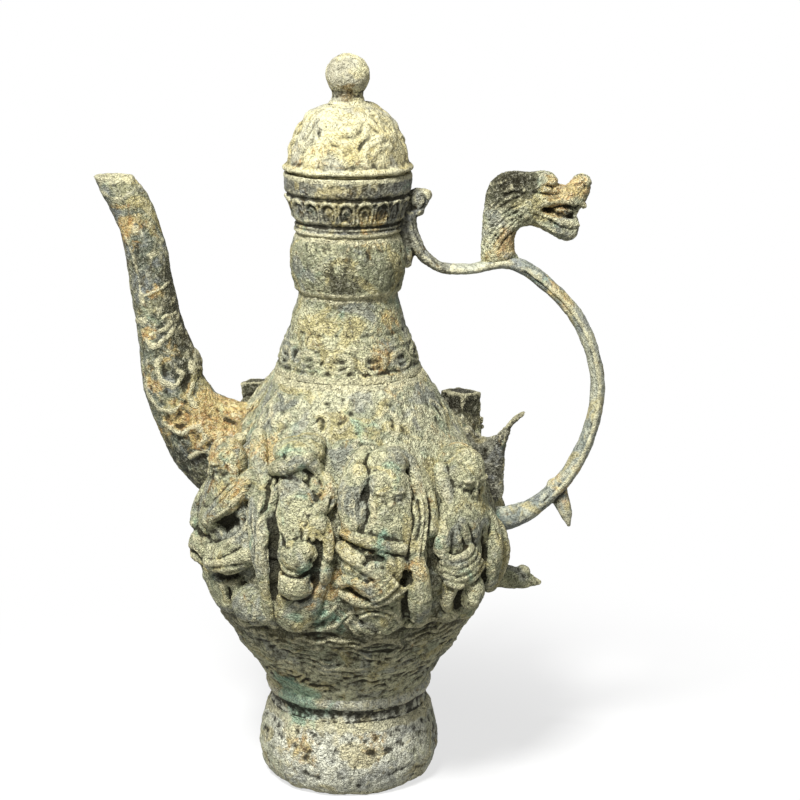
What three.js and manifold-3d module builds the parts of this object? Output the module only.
// Bronze wine ewer: a pear-bodied vessel on a drum foot, with a curved spout, a dragon-headed strap
// handle, eight seated elders in high relief round the belly, and a loose domed lid.
// Millimetres, +Z up. The origin is on the vessel's axis, in the plane that the foot stands on.
// The spout points along -X and the handle along +X.

import * as THREE from "three";
import { mergeVertices } from "three/addons/utils/BufferGeometryUtils.js";
import Module from "manifold-3d";

const wasm = await Module();
wasm.setup();

// Fits and walls
const FIT_GAP = 0.3; // between a spigot and its socket, and under a casting seated on a curved wall
const WALL = 3.2; // cast wall of the vessel's sections
const SPIGOT_WALL = 2.4;
const SPIGOT_DEPTH = 4.5; // of the neck, bulb and cup into what they stand on
const SOCKET_SPARE = 0.6; // empty depth under a spigot
const LEAST_STEP = 1.5; // between an inner outline and the ledges above and below it

// Facets
const ROUND_STEPS = 32;
const TUBE_SIDES = 12;
const ROOT_SIDES = 16;
const STRAP_SIDES = 8;
const FOLD_SIDES = 6;
const SPOUT_STEPS = 12;
const ROOT_STEPS = 7;
const STRAP_STEPS = 26;
const BRACKET_STEPS = 10;
const SPUR_STEPS = 5;
const HEAD_STEPS = 5;
const SWELLING_FACETS = [10, 6];
const LUMP_FACETS = [8, 6];

// Foot: a drum, open underneath
const FOOT_HEIGHT = 34;
const FOOT_BASE_RADIUS = 37.4;
const FOOT_WIDEST_RADIUS = 40.3;
const FOOT_WIDEST_HEIGHT = 14;
const FOOT_TOP_RADIUS = 35.2;
const FOOT_WALL = 4.6; // also the width of the flat ring that it stands on

// Rolled collar between the foot and the belly
const COLLAR_HEIGHT = 5;
const COLLAR_BULGE = 1.9; // beyond the waist
const COLLAR_ROUNDING = 1.5; // height of its slopes above and below the bulge

// Belly: two curves that meet at its widest point
const BELLY_HEIGHT = 147;
const BELLY_RADIUS = 66.5;
const BELLY_WIDEST_HEIGHT = 71; // above the collar
const WAIST_RADIUS = 34.2;
const WAIST_FLARE = [1.8, 15]; // handle of the curve where it leaves the waist
const BELLY_ROUNDING = 32; // upright handles of both curves at the widest point
const SHOULDER_RADIUS = 32.4;
const SHOULDER_SLOPE = [11.6, 18]; // handle of the curve where it reaches the neck
const FLOOR_LEDGE = 3.4; // width of the flat that carries the belly on the collar
const FLOOR_SPIGOT_DEPTH = 9; // of the ring under the floor, through the collar into the foot
const FLOOR_RISE = 0.6; // of the floor above the collar

// Neck: a cone with a band of medallions round its base
const NECK_HEIGHT = 35;
const NECK_RIDGE = { out: 0.5, height: 1.2 }; // beyond the shoulder
const NECK_BAND_STEP = { in: 1.6, height: 2.6 };
const NECK_BAND_HEIGHT = 14;
const NECK_BAND_TAPER = 2.9;
const NECK_BAND_LIP = { in: 0.5, height: 1 };
const NECK_HOLLOW = { out: 3, below: 11 }; // of the cone's curve, from the neck's top
const NECK_TOP_RADIUS = 21.3;

// Bulb: the round swelling between the neck and the cup
const BULB_HEIGHT = 26;
const BULB_RADIUS = 25.1;
const BULB_WIDEST_HEIGHT = 14.3;
const BULB_OVERHANG = 1.1; // of its foot beyond the neck

// Cup: the flared mouth with its band of lotus petals
const CUP_HEIGHT = 25.5;
const CUP_BASE_RADIUS = 22.4;
const CUP_RIDGE = { out: 0.8, height: 1.6, foot: 3.4 };
const CUP_PETAL_HEIGHT = 15.5; // top of the petal band above the cup's base
const CUP_PETAL_RADIUS = 26.4;
const CUP_GROOVE = 1;
const CUP_BAND = { out: 0.8, height: 3 }; // foot of the plain band above the groove
const CUP_RIM_RADIUS = 27.6;
const CUP_RIM_ROUNDING = [0.4, 1.4];
const CUP_THROAT = { radius: 22.2, height: 8 }; // where the bore has opened out

// Lid: a dome on a flange, with a skirt that drops inside the cup
const LID_OVERHANG = 0.7; // of the flange beyond the rim
const LID_FLANGE_HEIGHT = 4.4;
const LID_FLANGE_UNDERCUT = [1.6, 1.8];
const LID_FLANGE_EDGE = 1;
const LID_FLANGE_STEP = 2.1; // from the flange's edge in to the dome
const LID_DOME_HEIGHT = 29.2; // from the seat to the flat under the knob
const LID_DOME_FULLNESS = [2.4, 13]; // upper end of its side, in from the foot and down from the top
const LID_DOME_CROWN = [10, 2.6]; // handle of its curve at the top
const LID_SKIRT_DEPTH = 5.5;
const LID_SKIRT_GAP = 0.6;
const LID_WALL = 2.6;
const LID_CROWN_WALL = 3.6; // round the knob's tenon

// Knob: a ball on a short stem, held by a tenon through the lid
const KNOB_STEM_RADIUS = 7.9;
const KNOB_LEDGE = 0.7; // of the lid's flat beyond the stem
const KNOB_BALL_RADIUS = 9.4;
const KNOB_HEIGHT = 21.3;
const KNOB_TENON_RADIUS = 3.2;
const KNOB_TENON_LENGTH = 6.5;
const KNOB_ARC_STEPS = 6;

// What stands off the vessel is laid out in its upright plane, from a nearby point of the vessel. Each
// station of a tube or strap is [out, up, half thickness, half width].

// Spout, from the belly's widest point: the tube from its mouth down, and the root that holds it
const SPOUT_TUBE = [
  [33.8, 160, 8.6, 7.6],
  [28.1, 149.6, 8.6, 8],
  [23.7, 139, 8.7, 8.4],
  [20.5, 127, 9, 8.7],
  [18.8, 114, 9.4, 9],
  [16.7, 101, 9.8, 9.4],
  [13.2, 88.5, 10.2, 9.8],
  [9.1, 78, 10.4, 10],
];
const SPOUT_ROOT = [
  [12.4, 86, 12.6, 12.4],
  [9.7, 77, 14.4, 13.6],
  [5.9, 65, 16.6, 14.4],
  [0.5, 52, 19.5, 14.8],
  [-8.5, 40, 22, 15],
  [-22.5, 28, 22, 15],
];
const SPOUT_WALL = 2.4;
const SPOUT_ROOT_WALL = 7.4;
const SPOUT_PAST_MOUTH = [5, 8]; // how far the tube is drawn past its level mouth before it is cut

// Handle: its lower half from the belly's widest point, and its upper half from the foot of the bulb
const HANDLE_LOWER = [
  [-6.5, 6, 6.4, 8],
  [9.1, 9.6, 4.8, 7],
  [20, 16.5, 3.6, 6.2],
  [30.5, 28, 3.5, 6],
  [38.1, 42.5, 3.3, 6],
  [42.2, 58, 3.1, 6],
  [42.8, 72, 3.1, 6],
];
const HANDLE_UPPER = [
  [80.5, -23.5, 3.1, 6],
  [73.1, -9.5, 3.2, 5.8],
  [62.9, 1.4, 3.2, 5.6],
  [51.4, 10, 3.2, 5.6],
  [40.9, 12.6, 2.6, 5.4],
  [29.5, 9.6, 2.3, 5],
  [18.9, 9.4, 2.2, 4.6],
];
const HANDLE_SPUR = [
  [27, 22.5, 3.6, 3.6],
  [30.1, 14, 2.6, 2.8],
  [31.9, 6, 1.1, 1.4],
];

// Bracket: the scrolled end that holds the handle to the cup, from the foot of the bulb
const BRACKET = [
  [18.3, 9.5, 2.2, 4.6],
  [13.3, 11, 2.3, 4.6],
  [8.1, 14.8, 2.6, 4.6],
  [4.1, 20.4, 2.9, 4.6],
  [1.3, 27, 3, 4.6],
  [1.5, 35, 3, 4.6],
];
const BRACKET_EAR = { centre: [4.5, 41], radii: [5.4, 5, 6.2] };

// Dragon head, from the crest of the handle's strap: the neck and the two jaws, and the swellings between them
const HEAD_NECK = [
  [-1.2, 1, 8.2, 5.6],
  [-1.4, 6.4, 7.4, 6],
  [-1.4, 15.4, 7.2, 6.6],
  [1.6, 25.4, 8.8, 7.6],
];
const HEAD_UPPER_JAW = [
  [12, 28.8, 6.4, 6.4],
  [21, 29.4, 4.6, 5.6],
  [28, 30, 3.9, 4.9],
  [34.4, 31.4, 4.2, 4.4],
];
const HEAD_LOWER_JAW = [
  [8, 21.4, 6.4, 6.2],
  [17, 18.2, 4.3, 5.2],
  [25, 15, 4.3, 4.7],
  [31, 14.4, 4.4, 4.2],
];
const HEAD_SWELLINGS = {
  skull: { centre: [6.6, 28.8], radii: [13.4, 8.2, 10.6] },
  brow: { centre: [18, 34.4], radii: [6, 6.2, 5] },
  nose: { centre: [34.6, 34.6], radii: [3.2, 4.6, 4.6] },
  lip: { centre: [33.6, 26], radii: [2.8, 3.8, 5.6] },
};

// Fin above the handle's root, as an outline, and the spur below it, from the belly's widest point
const FIN_OUTLINE = [
  [-16.5, 47], [-6.5, 47.4], [0.5, 48.4], [5.9, 51.6], [10.7, 57.4], [12.3, 56.2],
  [8.1, 47], [5.7, 37], [4.9, 24], [4.5, 16], [-8.5, 16],
];
const FIN_THICKNESS = 5;
const TAIL_SPUR = [
  [-4.5, -15, 5.6, 5.2],
  [6.5, -19, 5, 4.6],
  [14.5, -21.2, 3.2, 3],
  [20.9, -22.6, 1.1, 1.4],
];

// Elders in relief. The bearing is from the front (-Y) towards +X, in degrees. A pose is given as it is
// seen from outside, and the four behind are turned the other way round.
const ELDERS = [
  { bearing: -54, pose: "leaning" },
  { bearing: -20, pose: "hooded" },
  { bearing: 15.5, pose: "cowled" },
  { bearing: 52, pose: "folded" },
  { bearing: 126, pose: "folded", mirrored: true, capped: true },
  { bearing: 159, pose: "cowled", mirrored: true },
  { bearing: 192, pose: "hooded", mirrored: true },
  { bearing: 225, pose: "leaning", mirrored: true, capped: true },
];
const HANDLE_BEARING = 90;
const SPOUT_BEARING = 270;
const SQUARE_CAP = { across: 17, deep: 12.6, height: 15, up: 14.6 }; // its middle above the head's

// The main masses of each pose. A place is the way round the belly from the elder's middle, the height above
// the belly's widest level, and how far it stands out from the belly's wall. A lump has a place and its radii
// across, deep and high. A fold is a line of places, each with a thickness.
const POSES = {
  // turned aside, a heavy forearm across the chest, one knee drawn up and a rock beneath
  leaning: {
    head: [-3, 41, 5, 10, 9.4, 13],
    lumps: [
      [0, 9, -2.4, 19, 9, 33],
      [2, 22, 1, 13, 8, 15],
      [-3.4, 19.4, 4.4, 6.4, 5.6, 6],
      [-11, 4, 2.4, 8, 6.8, 9],
      [20, -14.6, 0.4, 11.4, 8, 9.6],
      [-8.4, -8.4, -0.4, 6, 5.4, 5],
    ],
    folds: [
      [[-10, 50, 2, 3], [-14, 40, 3, 3.6], [-13, 30, 3, 3.4]],
      [[6, 54, 2, 3.4], [13.5, 47.3, 3.4, 4], [19, 34, 3.8, 4.2]],
      [[16, 39, 5.6, 4.4], [11.8, 32.4, 7, 5.2], [7.2, 25.4, 7.4, 5.6], [1, 20, 6.4, 5.6]],
      [[-16, 32, 2, 3.6], [-17.4, 22, 3.6, 4.2], [-15.6, 14, 4.4, 4]],
      [[20, 29, 3, 2.4], [20, 20, 5, 2.4], [12.6, 11.4, 7, 2.6], [1.7, 7.2, 6.4, 2.6]],
      [[3, 3, 4, 6.4], [13, 5, 5, 6.4], [21, 9.6, 3.6, 5.4]],
    ],
  },
  // under a deep hood, one arm raised, over a round gourd, with a long drape down one side
  hooded: {
    head: [-1.4, 42.4, 3.4, 8.8, 8.6, 11.6],
    lumps: [
      [0, 9, -2.4, 17, 9, 34],
      [-1, 28, 0.4, 11, 7.4, 14],
      [-1.4, 51.6, 4, 11.4, 9, 6.6],
      [12, 24.6, 5, 5.4, 5, 5.2],
      [5.4, 11.8, 3.6, 8, 7.6, 7.6],
      [3, 0.8, 2.6, 8.2, 7.6, 8.2],
      [13.6, 3, -0.4, 5, 6, 10],
    ],
    folds: [
      [[-12.6, 44, 5, 2.6], [-8.4, 48, 9.6, 3.4], [-1, 49.8, 11.4, 3.6], [5.6, 49, 9.4, 3.2], [10, 45.6, 5, 2.6]],
      [[9, 42, 3, 3], [14, 41.6, 4, 3.4], [16.6, 36, 5, 3.8], [12.6, 31, 6, 3.4], [4, 30, 6.4, 2.6]],
      [
        [-12.6, 44, 3, 3], [-15.6, 33, 5, 4.6], [-11.4, 19.6, 5.6, 6.2], [-9.4, 5, 5.2, 5],
        [-8.8, -8, 4, 3.4], [-9.6, -22, 1.6, 2.2],
      ],
    ],
  },
  // wrapped in a long cowl, the forearms crossed over the lap, with a small round drum beneath
  cowled: {
    head: [0.6, 38.4, 4.6, 9.6, 8.8, 12.6],
    lumps: [
      [0, 9, -2.4, 18, 9, 34],
      [3, 46.6, 3.4, 8.8, 7.6, 7.4],
      [-1, 21.6, 2.4, 11, 7, 9],
      [-5, 7, 1, 15, 8, 10],
      [-5, 1.4, 5.6, 5, 3.6, 5.6],
      [-6.4, -18.6, -3, 12.4, 6, 7.4],
    ],
    folds: [
      [[-7.5, 51, 2.6, 3.6], [-14, 44.4, 4, 4.6], [-16.4, 35, 4.6, 5], [-15.2, 25, 4.4, 4.4]],
      [[9, 51, 2, 3], [15, 46, 3, 3.6], [16.6, 37, 3.4, 4.2], [15.4, 27, 3.8, 4.2], [10.4, 9, 4.6, 3.4]],
      [[-19, 21.6, 2, 2.4], [-14.2, 20.4, 5.6, 2.8], [-5.6, 18, 8.4, 3], [4.6, 15, 7, 2.6]],
      [[-19.4, 15.4, 3, 2.8], [-15.8, 13, 6, 3.2], [-10.6, 9.6, 7.4, 3.4], [-5.6, 5.6, 7.6, 3]],
      [[-19, 0.4, 2, 2.6], [-14.6, 2.6, 4.4, 3.4], [-9, -2, 5, 3.4], [-4, -5.4, 4.6, 2.6]],
      [[11, 8.4, 4.4, 4], [11.2, 1, 5.4, 5.2], [12.4, -9, 5.4, 5.4], [14, -17, 3.6, 4.2]],
    ],
  },
  // upright, bald and bearded, the sleeves' folds hanging in rings over a raised knee
  folded: {
    head: [0, 35.6, 5.4, 10.6, 9.6, 14],
    lumps: [
      [0, 9, -2.4, 18, 9, 33],
      [3, 43.6, 4.4, 9, 8.4, 8],
      [0, 21.4, 8, 4.6, 4, 6],
      [-2, 17, 1.4, 15, 8, 12],
      [-8, 2, 1.4, 12, 7.4, 8.6],
      [-3.4, -10.4, 5.4, 5.4, 5.8, 8.4],
      [4.6, -22.6, -1, 7, 5.4, 5.4],
    ],
    folds: [
      [[-12, 24, 2, 4], [-17, 17, 3, 4.2], [-18.4, 9, 3, 3.4]],
      [[-19.6, 8.8, 4, 2.2], [-15, 6.8, 6.6, 2.3], [-9.4, 8, 8, 2.3], [-5, 10.6, 7, 2]],
      [[-18.2, 1.6, 4, 2.2], [-13.6, -0.4, 6.6, 2.3], [-7.2, 1.6, 8, 2.3], [-2.4, 4.4, 7, 2]],
      [[9, 24, 3, 4.4], [10.4, 14, 4.6, 5.2], [9.4, 3, 5, 5.6], [9.6, -8, 4, 5.2]],
      [[15, 18, 2, 4], [18.4, 8, 4, 5], [19, -3, 4.4, 5], [16, -13, 2.6, 4.4]],
      [[-12, -6, 3, 3], [-13.6, -13, 2, 2.8], [-10, -20, 0.6, 4]],
    ],
  },
};

// Levels, from the foot up
const footTop = FOOT_HEIGHT;
const collarTop = footTop + COLLAR_HEIGHT;
const bellyMid = collarTop + BELLY_WIDEST_HEIGHT;
const bellyTop = collarTop + BELLY_HEIGHT;
const neckTop = bellyTop + NECK_HEIGHT;
const bulbTop = neckTop + BULB_HEIGHT;
const rimTop = bulbTop + CUP_HEIGHT;
const lidSeat = rimTop;
const lidTop = lidSeat + LID_DOME_HEIGHT;

// Points that the spout, handle and head are laid out from
const bellyPoint = [BELLY_RADIUS, bellyMid];
const bulbPoint = [BULB_RADIUS, neckTop];

// Radii that follow from what a piece stands on or closes
const socketIn = (radius) => radius - WALL;
const spigotFor = (radius) => socketIn(radius) - FIT_GAP;
const floorSpigotRadius = Math.min(FOOT_TOP_RADIUS, WAIST_RADIUS) - FLOOR_LEDGE - FIT_GAP;
const floorSocketRadius = floorSpigotRadius + FIT_GAP;
const neckBandRadius = SHOULDER_RADIUS - NECK_BAND_STEP.in;
const neckBandTopRadius = neckBandRadius - NECK_BAND_TAPER;
const cupMouthRadius = socketIn(CUP_RIM_RADIUS);
const lidSkirtRadius = cupMouthRadius - LID_SKIRT_GAP;
const lidFlangeRadius = CUP_RIM_RADIUS + LID_OVERHANG;
const lidDomeRadius = lidFlangeRadius - LID_FLANGE_STEP;

// Finishes
const bronze = (name, color, roughness) =>
  new THREE.MeshStandardMaterial({ name, color, roughness, metalness: 0.35 });
const PATINA = bronze("patina_bronze", 0xa3a383, 0.85);
const DARK_PATINA = bronze("dark_patina_bronze", 0x7d7f6a, 0.8);
const PALE_PATINA = bronze("pale_patina_bronze", 0xcbc397, 0.9);
const EARTH_PATINA = bronze("earthy_patina_bronze", 0xa08f5c, 0.9);

// Geometry helpers

function solidOf(geometry) {
  const bare = geometry.clone();
  bare.deleteAttribute("normal");
  bare.deleteAttribute("uv");
  const merged = mergeVertices(bare);
  return new wasm.Manifold(
    new wasm.Mesh({
      numProp: 3,
      vertProperties: merged.attributes.position.array,
      triVerts: new Uint32Array(merged.index.array),
    }),
  );
}

function geometryOf(solid) {
  const { vertProperties, triVerts } = solid.getMesh();
  const geometry = new THREE.BufferGeometry();
  geometry.setAttribute("position", new THREE.BufferAttribute(vertProperties, 3));
  geometry.setIndex(new THREE.BufferAttribute(triVerts, 1));
  geometry.computeVertexNormals();
  return geometry;
}

const joined = (solids) => solids.reduce((whole, piece) => whole.add(piece));

function piece(name, solid, material) {
  const mesh = new THREE.Mesh(geometryOf(solid), material);
  mesh.name = name;
  return mesh;
}

// A solid of revolution about Z from [radius, height] points.
function turned(profile) {
  const points = profile.map(([radius, height]) => new THREE.Vector2(radius, height));
  return solidOf(new THREE.LatheGeometry(points, ROUND_STEPS).rotateX(Math.PI / 2));
}

// A turned ring: the profile closes on itself and leaves the axis open.
const turnedRing = (profile) => turned([...profile, profile[0]]);

const pairs = (points) => points.map((point) => [point.x, point.y]);

function bezier(start, startHandle, endHandle, end, steps) {
  const corners = [start, startHandle, endHandle, end].map((p) => new THREE.Vector2(...p));
  return pairs(new THREE.CubicBezierCurve(...corners).getPoints(steps));
}

function smooth(points, steps) {
  return pairs(new THREE.SplineCurve(points.map((p) => new THREE.Vector2(...p))).getPoints(steps));
}

// The same outline moved towards the axis by a distance, or away from it by a negative one.
function inset(outline, distance) {
  return outline.map(([radius, height], i) => {
    const before = outline[Math.max(i - 1, 0)];
    const after = outline[Math.min(i + 1, outline.length - 1)];
    const run = new THREE.Vector2(after[0] - before[0], after[1] - before[1]).normalize();
    return [radius - run.y * distance, height + run.x * distance];
  });
}

// A rod along a smooth line in the XZ plane, or in any plane where stations are [x, y, z, thick, wide].
function rod(stations, steps, sides) {
  const full = stations.map((s) => (s.length === 4 ? [s[0], 0, s[1], s[2], s[3]] : s));
  const path = new THREE.CatmullRomCurve3(full.map((s) => new THREE.Vector3(s[0], s[1], s[2])));
  const sizes = new THREE.CatmullRomCurve3(full.map((s) => new THREE.Vector3(s[3], s[4], 0)));
  const geometry = new THREE.CylinderGeometry(1, 1, 1, sides, steps);
  const position = geometry.attributes.position;
  for (let i = 0; i < position.count; i++) {
    const share = THREE.MathUtils.clamp(position.getY(i) + 0.5, 0, 1);
    const along = path.getTangent(share);
    const across = new THREE.Vector3(0, 1, 0).addScaledVector(along, -along.y).normalize();
    const upward = new THREE.Vector3().crossVectors(across, along);
    const size = sizes.getPoint(share);
    const point = path
      .getPoint(share)
      .addScaledVector(across, position.getX(i) * size.y)
      .addScaledVector(upward, position.getZ(i) * size.x);
    position.setXYZ(i, point.x, point.y, point.z);
  }
  return solidOf(geometry);
}

const thinner = (stations, wall) => stations.map(([x, z, thick, wide]) => [x, z, thick - wall, wide - wall]);

// Stations or points laid out from a point of the vessel, on the handle's side or on the spout's.
const laidFrom = ([x, z], stations) => stations.map(([out, up, ...size]) => [x + out, z + up, ...size]);
const onSpoutSide = (stations) => stations.map(([x, ...rest]) => [-x, ...rest]);

// Stations carried on past both ends in the same direction.
function longer(stations, by) {
  const onward = ([x, z, ...size], [fromX, fromZ]) => {
    const run = new THREE.Vector2(x - fromX, z - fromZ).setLength(by);
    return [x + run.x, z + run.y, ...size];
  };
  return [onward(stations[0], stations[1]), ...stations, onward(stations.at(-1), stations.at(-2))];
}

// The space that a rod takes up, with the gap that its neighbours keep to it.
const roomFor = (stations, steps, sides) => rod(longer(thinner(stations, -FIT_GAP), FIT_GAP), steps, sides);

function ball(centre, radii, facets) {
  const geometry = new THREE.SphereGeometry(1, ...facets).rotateX(Math.PI / 2);
  geometry.scale(...radii).translate(...centre);
  return solidOf(geometry);
}

function swelling(from, { centre, radii }) {
  const [[x, z]] = laidFrom(from, [centre]);
  return ball([x, 0, z], radii, SWELLING_FACETS);
}

// Outlines of the vessel's sections, from the bottom up

const footOutline = smooth(
  [
    [FOOT_BASE_RADIUS, 0],
    [FOOT_WIDEST_RADIUS, FOOT_WIDEST_HEIGHT],
    [FOOT_TOP_RADIUS, footTop],
  ],
  5,
);

const bellyOutline = [
  ...bezier(
    [WAIST_RADIUS, collarTop],
    [WAIST_RADIUS + WAIST_FLARE[0], collarTop + WAIST_FLARE[1]],
    [BELLY_RADIUS, bellyMid - BELLY_ROUNDING],
    [BELLY_RADIUS, bellyMid],
    6,
  ),
  ...bezier(
    [BELLY_RADIUS, bellyMid],
    [BELLY_RADIUS, bellyMid + BELLY_ROUNDING],
    [SHOULDER_RADIUS + SHOULDER_SLOPE[0], bellyTop - SHOULDER_SLOPE[1]],
    [SHOULDER_RADIUS, bellyTop],
    7,
  ).slice(1),
];

const neckOutline = [
  [SHOULDER_RADIUS, bellyTop],
  [SHOULDER_RADIUS + NECK_RIDGE.out, bellyTop + NECK_RIDGE.height],
  [neckBandRadius, bellyTop + NECK_BAND_STEP.height],
  [neckBandTopRadius, bellyTop + NECK_BAND_HEIGHT],
  ...smooth(
    [
      [neckBandTopRadius - NECK_BAND_LIP.in, bellyTop + NECK_BAND_HEIGHT + NECK_BAND_LIP.height],
      [NECK_TOP_RADIUS + NECK_HOLLOW.out, neckTop - NECK_HOLLOW.below],
      [NECK_TOP_RADIUS, neckTop],
    ],
    3,
  ),
];

const bulbOutline = smooth(
  [
    [NECK_TOP_RADIUS + BULB_OVERHANG, neckTop],
    [BULB_RADIUS, neckTop + BULB_WIDEST_HEIGHT],
    [CUP_BASE_RADIUS, bulbTop],
  ],
  6,
);

const cupOutline = [
  [CUP_BASE_RADIUS, bulbTop],
  [CUP_BASE_RADIUS + CUP_RIDGE.out, bulbTop + CUP_RIDGE.height],
  [CUP_BASE_RADIUS, bulbTop + CUP_RIDGE.foot],
  [CUP_PETAL_RADIUS, bulbTop + CUP_PETAL_HEIGHT],
  [CUP_PETAL_RADIUS, bulbTop + CUP_PETAL_HEIGHT + CUP_GROOVE],
  [CUP_PETAL_RADIUS + CUP_BAND.out, bulbTop + CUP_PETAL_HEIGHT + CUP_BAND.height],
  [CUP_RIM_RADIUS, rimTop - CUP_RIM_ROUNDING[1]],
  [CUP_RIM_RADIUS - CUP_RIM_ROUNDING[0], rimTop],
];

const lidOutline = [
  [lidFlangeRadius - LID_FLANGE_UNDERCUT[0], lidSeat],
  [lidFlangeRadius, lidSeat + LID_FLANGE_UNDERCUT[1]],
  [lidFlangeRadius, lidSeat + LID_FLANGE_UNDERCUT[1] + LID_FLANGE_EDGE],
  ...bezier(
    [lidDomeRadius, lidSeat + LID_FLANGE_HEIGHT],
    [lidDomeRadius - LID_DOME_FULLNESS[0], lidTop - LID_DOME_FULLNESS[1]],
    [KNOB_STEM_RADIUS + LID_DOME_CROWN[0], lidTop - LID_DOME_CROWN[1]],
    [KNOB_STEM_RADIUS + KNOB_LEDGE, lidTop],
    7,
  ),
];

// Vessel

function makeFoot() {
  const shelf = footTop - FOOT_WALL;
  const inside = inset(footOutline, FOOT_WALL)
    .filter(([, height]) => height > 0 && height < shelf - LEAST_STEP)
    .map(([radius, height]) => [Math.max(radius, floorSocketRadius), height])
    .reverse();
  return turnedRing([
    ...footOutline,
    [floorSocketRadius, footTop],
    [floorSocketRadius, shelf],
    ...inside,
    [FOOT_BASE_RADIUS - FOOT_WALL, 0],
  ]);
}

function makeCollar() {
  const bulge = WAIST_RADIUS + COLLAR_BULGE;
  return turnedRing([
    [WAIST_RADIUS, footTop],
    [bulge, footTop + COLLAR_ROUNDING],
    [bulge, collarTop - COLLAR_ROUNDING],
    [WAIST_RADIUS, collarTop],
    [floorSocketRadius, collarTop],
    [floorSocketRadius, footTop],
  ]);
}

// Everything within the belly's outer wall and a gap, for cutting what is seated on it.
function bellySeat() {
  const out = inset(bellyOutline, -FIT_GAP);
  return turned([[0, collarTop], ...out, [0, bellyTop]]);
}

function makeBelly(bore) {
  const drumInside = floorSpigotRadius - WALL;
  const mouth = socketIn(SHOULDER_RADIUS);
  const lip = bellyTop - SPIGOT_DEPTH - SOCKET_SPARE;
  const inside = inset(bellyOutline, WALL)
    .filter(([, height]) => height > collarTop + WALL && height < lip - LEAST_STEP)
    .reverse();
  const shell = turned([
    [0, collarTop + FLOOR_RISE - WALL],
    [drumInside, collarTop + FLOOR_RISE - WALL],
    [drumInside, collarTop - FLOOR_SPIGOT_DEPTH],
    [floorSpigotRadius, collarTop - FLOOR_SPIGOT_DEPTH],
    [floorSpigotRadius, collarTop],
    ...bellyOutline,
    [mouth, bellyTop],
    [mouth, lip],
    ...inside,
    [drumInside, collarTop + FLOOR_RISE],
    [0, collarTop + FLOOR_RISE],
  ]);
  return shell.subtract(bore);
}

// A hollow section with a spigot that drops into the one below, and a socket for the one above.
function makeSection(outline, radiusBelow) {
  const [bottom, [topRadius, top]] = [outline[0][1], outline.at(-1)];
  const spigot = spigotFor(radiusBelow);
  const lip = top - SPIGOT_DEPTH - SOCKET_SPARE;
  const inside = inset(outline, WALL)
    .filter(([, height]) => height > bottom + LEAST_STEP && height < lip - LEAST_STEP)
    .reverse();
  return turnedRing([
    [spigot - SPIGOT_WALL, bottom - SPIGOT_DEPTH],
    [spigot, bottom - SPIGOT_DEPTH],
    [spigot, bottom],
    ...outline,
    [socketIn(topRadius), top],
    [socketIn(topRadius), lip],
    ...inside,
    [spigot - SPIGOT_WALL, bottom],
  ]);
}

const makeNeck = () => makeSection(neckOutline, SHOULDER_RADIUS);

const makeBulb = () => makeSection(bulbOutline, NECK_TOP_RADIUS);

function makeCup() {
  const spigot = spigotFor(CUP_BASE_RADIUS);
  const bore = spigot - SPIGOT_WALL;
  return turnedRing([
    [bore, bulbTop - SPIGOT_DEPTH],
    [spigot, bulbTop - SPIGOT_DEPTH],
    [spigot, bulbTop],
    ...cupOutline,
    [cupMouthRadius, rimTop],
    [cupMouthRadius, rimTop - LID_SKIRT_DEPTH - WALL],
    [CUP_THROAT.radius, bulbTop + CUP_THROAT.height],
    [bore, bulbTop],
  ]);
}

// Lid

function makeLid() {
  const skirtInside = lidSkirtRadius - LID_WALL;
  const bore = KNOB_TENON_RADIUS + FIT_GAP;
  const shoulder = bore + LID_WALL;
  const inside = inset(lidOutline, LID_WALL)
    .filter(([radius, height]) => radius > shoulder && radius < skirtInside && height > lidSeat)
    .reverse();
  return turnedRing([
    [skirtInside, lidSeat - LID_SKIRT_DEPTH],
    [lidSkirtRadius, lidSeat - LID_SKIRT_DEPTH],
    [lidSkirtRadius, lidSeat],
    ...lidOutline,
    [bore, lidTop],
    [bore, lidTop - LID_CROWN_WALL],
    ...inside,
    [skirtInside, lidSeat + LID_FLANGE_HEIGHT],
  ]);
}

function makeKnob() {
  const ballCentre = lidTop + KNOB_HEIGHT - KNOB_BALL_RADIUS;
  const belowStem = Math.asin(KNOB_STEM_RADIUS / KNOB_BALL_RADIUS);
  const arc = Array.from({ length: KNOB_ARC_STEPS }, (_, i) => {
    const angle = (Math.PI - belowStem) * (1 - i / KNOB_ARC_STEPS);
    return [KNOB_BALL_RADIUS * Math.sin(angle), ballCentre + KNOB_BALL_RADIUS * Math.cos(angle)];
  });
  return turned([
    [0, lidTop - KNOB_TENON_LENGTH],
    [KNOB_TENON_RADIUS, lidTop - KNOB_TENON_LENGTH],
    [KNOB_TENON_RADIUS, lidTop],
    [KNOB_STEM_RADIUS, lidTop],
    ...arc,
    [0, ballCentre + KNOB_BALL_RADIUS],
  ]);
}

// Spout

const spoutTube = onSpoutSide(laidFrom(bellyPoint, SPOUT_TUBE));
const spoutRoot = onSpoutSide(laidFrom(bellyPoint, SPOUT_ROOT));

// The tube and its bore both run on past the level mouth, so that the cut leaves a clean lip.
function pastMouth(stations) {
  const [[x, z, ...size]] = stations;
  return [[x - SPOUT_PAST_MOUTH[0], z + SPOUT_PAST_MOUTH[1], ...size], ...stations];
}

function aboveMouth() {
  const [[x, z, thick]] = spoutTube;
  const size = 4 * (thick + SPOUT_PAST_MOUTH[1]);
  return solidOf(new THREE.BoxGeometry(size, size, size).translate(x, 0, z + size / 2));
}

// One bore, down the tube and on through the root and the belly's wall.
function spoutBore() {
  const inTube = thinner(spoutTube, SPOUT_WALL).slice(0, -1);
  const inRoot = thinner(spoutRoot, SPOUT_ROOT_WALL).slice(2);
  return rod(pastMouth([...inTube, ...inRoot]), SPOUT_STEPS + 2, TUBE_SIDES);
}

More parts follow.
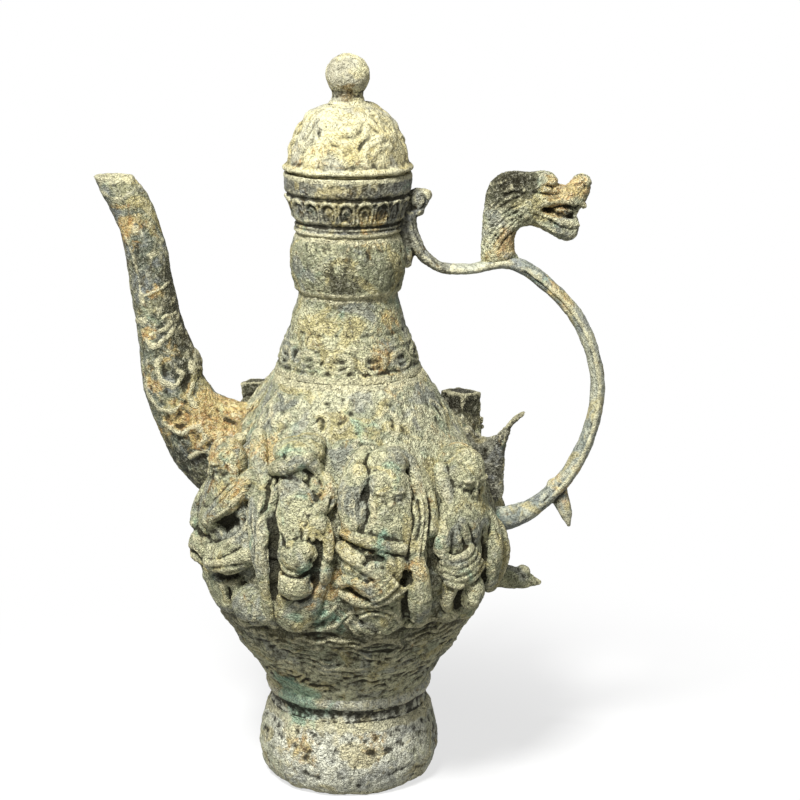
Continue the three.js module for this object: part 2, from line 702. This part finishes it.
const makeSpoutTube = (bore) =>
  rod(pastMouth(spoutTube), SPOUT_STEPS, TUBE_SIDES).subtract(bore).subtract(aboveMouth());

function makeSpoutRoot(bore, seat) {
  const socket = roomFor(spoutTube, SPOUT_STEPS, TUBE_SIDES);
  return rod(spoutRoot, ROOT_STEPS, ROOT_SIDES).subtract(socket).subtract(bore).subtract(seat);
}

// Handle and its fittings

const handleStrap = [...laidFrom(bellyPoint, HANDLE_LOWER), ...laidFrom(bulbPoint, HANDLE_UPPER)];
const handleCrest = handleStrap.reduce((crest, station) => (station[1] > crest[1] ? station : crest));

function makeHandle(seat) {
  const spur = rod(laidFrom(bellyPoint, HANDLE_SPUR), SPUR_STEPS, STRAP_SIDES);
  return rod(handleStrap, STRAP_STEPS, STRAP_SIDES).add(spur).subtract(seat);
}

function upperSeat() {
  const out = inset([...bulbOutline, ...cupOutline.slice(1)], -FIT_GAP);
  return turned([[0, neckTop], ...out, [0, rimTop]]);
}

function makeBracket(strap) {
  const bar = rod(laidFrom(bulbPoint, BRACKET), BRACKET_STEPS, STRAP_SIDES);
  return bar.add(swelling(bulbPoint, BRACKET_EAR)).subtract(upperSeat()).subtract(strap);
}

function makeDragonHead(strap) {
  const limb = (stations) => rod(laidFrom(handleCrest, stations), HEAD_STEPS, TUBE_SIDES);
  const head = joined([
    ...[HEAD_NECK, HEAD_UPPER_JAW, HEAD_LOWER_JAW].map(limb),
    ...Object.values(HEAD_SWELLINGS).map((part) => swelling(handleCrest, part)),
  ]);
  return head.subtract(strap);
}

function makeFin(seat, strap) {
  const outline = laidFrom(bellyPoint, FIN_OUTLINE).map((point) => new THREE.Vector2(...point));
  const plate = new THREE.ExtrudeGeometry(new THREE.Shape(outline), {
    depth: FIN_THICKNESS,
    bevelEnabled: false,
  });
  plate.rotateX(Math.PI / 2).translate(0, FIN_THICKNESS / 2, 0);
  return solidOf(plate).subtract(seat).subtract(strap);
}

function makeTailSpur(seat) {
  return rod(laidFrom(bellyPoint, TAIL_SPUR), SPUR_STEPS, TUBE_SIDES).subtract(seat);
}

// Elders, each modelled at the front of the vessel and then turned to its bearing

function bellyRadiusAt(height) {
  const above = bellyOutline.findIndex(([, level]) => level >= height);
  const [low, high] = [bellyOutline[above - 1], bellyOutline[above]];
  return THREE.MathUtils.mapLinear(height, low[1], high[1], low[0], high[0]);
}

// A place at the front of the belly, or a way round from there.
function onBelly([side, up, rise]) {
  const height = bellyMid + up;
  return { out: bellyRadiusAt(height) + rise, height, turn: side / BELLY_RADIUS };
}

function lump([side, up, rise, ...radii]) {
  const { out, height, turn } = onBelly([side, up, rise]);
  return ball([0, -out, height], radii, LUMP_FACETS).rotate([0, 0, THREE.MathUtils.radToDeg(turn)]);
}

function squareCap([side, up, rise]) {
  const { out, height, turn } = onBelly([side, up, rise]);
  const block = new THREE.BoxGeometry(SQUARE_CAP.across, SQUARE_CAP.deep, SQUARE_CAP.height);
  const placed = solidOf(block.translate(0, -out, height + SQUARE_CAP.up));
  return placed.rotate([0, 0, THREE.MathUtils.radToDeg(turn)]);
}

function fold(places) {
  const stations = places.map(([side, up, rise, thick]) => {
    const { out, height, turn } = onBelly([side, up, rise]);
    return [out * Math.sin(turn), -out * Math.cos(turn), height, thick, thick];
  });
  return rod(stations, stations.length + 1, FOLD_SIDES);
}

// The slice of the vessel that an elder may fill, up to half a gap short of half-way to what stands on
// either side.
function elderRoom(bearing) {
  const others = [...ELDERS.map((elder) => elder.bearing), HANDLE_BEARING, SPOUT_BEARING];
  const waysRound = others.map((other) => THREE.MathUtils.euclideanModulo(other - bearing, 360));
  const toNext = Math.min(...waysRound.filter((way) => way > 0));
  const toLast = Math.min(...waysRound.filter((way) => way > 0).map((way) => 360 - way));
  const reach = 2 * BELLY_RADIUS;
  const edge = (degrees) => {
    const turn = THREE.MathUtils.degToRad(degrees);
    return new THREE.Vector2(reach * Math.sin(turn), -reach * Math.cos(turn));
  };
  const slice = new THREE.Shape([new THREE.Vector2(0, 0), edge(-toLast / 2), edge(toNext / 2)]);
  const wedge = new THREE.ExtrudeGeometry(slice, { depth: BELLY_HEIGHT, bevelEnabled: false });
  const outward = FIT_GAP / 2 / Math.sin(THREE.MathUtils.degToRad(Math.min(toLast, toNext) / 2));
  return solidOf(wedge.translate(0, -outward, collarTop));
}

function makeElder({ bearing, pose, mirrored = false, capped = false }, seat) {
  const { head, lumps, folds } = POSES[pose];
  const cap = capped ? [squareCap(head)] : [];
  const masses = joined([lump(head), ...lumps.map(lump), ...folds.map(fold), ...cap]);
  const figure = mirrored ? masses.mirror([1, 0, 0]) : masses;
  return figure.intersect(elderRoom(bearing)).rotate([0, 0, bearing]).subtract(seat);
}

// Assembly

const vessel = new THREE.Group();
const lid = new THREE.Group();

const bore = spoutBore();
const seat = bellySeat();
const strapRoom = roomFor(handleStrap, STRAP_STEPS, STRAP_SIDES);

vessel.add(
  piece("foot_ring", makeFoot(), PATINA),
  piece("foot_collar", makeCollar(), DARK_PATINA),
  piece("belly", makeBelly(bore), PATINA),
  piece("neck", makeNeck(), PATINA),
  piece("neck_bulb", makeBulb(), PATINA),
  piece("mouth_cup", makeCup(), DARK_PATINA),
  piece("spout_tube", makeSpoutTube(bore), DARK_PATINA),
  piece("spout_root", makeSpoutRoot(bore, seat), EARTH_PATINA),
  piece("handle_strap", makeHandle(seat), DARK_PATINA),
  piece("cup_bracket", makeBracket(strapRoom), DARK_PATINA),
  piece("dragon_head", makeDragonHead(strapRoom), PATINA),
  piece("handle_fin", makeFin(seat, strapRoom), DARK_PATINA),
  piece("tail_spur", makeTailSpur(seat), DARK_PATINA),
);
ELDERS.forEach((elder, i) => {
  vessel.add(piece(`relief_elder_${i + 1}`, makeElder(elder, seat), PATINA));
});
lid.add(piece("lid", makeLid(), PALE_PATINA), piece("lid_knob", makeKnob(), PALE_PATINA));

const ewer = new THREE.Group();
ewer.add(vessel, lid);

export default ewer;
